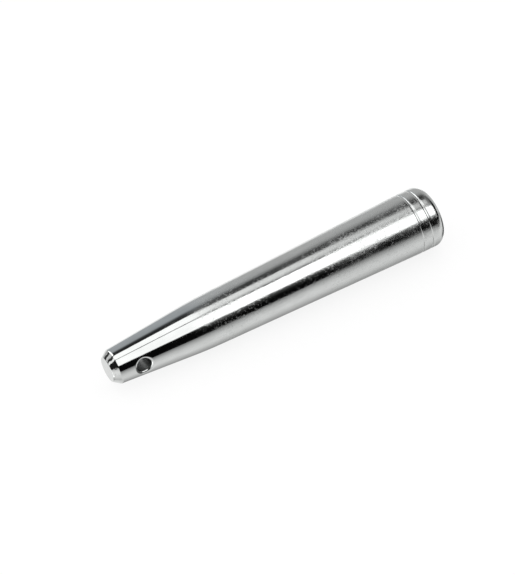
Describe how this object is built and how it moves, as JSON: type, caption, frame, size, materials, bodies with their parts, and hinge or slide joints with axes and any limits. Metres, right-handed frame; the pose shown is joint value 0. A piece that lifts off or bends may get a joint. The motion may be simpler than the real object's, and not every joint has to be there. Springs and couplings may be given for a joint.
{
  "type": "tapered locking pin",
  "caption": "Solid plated steel taper pin with a chamfered thin end, a cross hole for a spring clip near it, and a rounded cylindrical head end with shallow turned rings.",
  "frame": {"origin": "middle of the long seat taper, on the pin's axis", "axes": "+X along the pin's axis, from the thin end to the thick end; Y along the clip hole; Z completes the frame, with the pin lying on its side"},
  "size_m": [0.076, 0.013, 0.013],
  "materials": {
    "plated_steel": "bright nickel or zinc plating over turned steel, mirror-like with fine pitting and faint streaks along the pin"
  },
  "bodies": {
    "root": {"locking_pin": "plated_steel"}
  },
  "joints": []
}
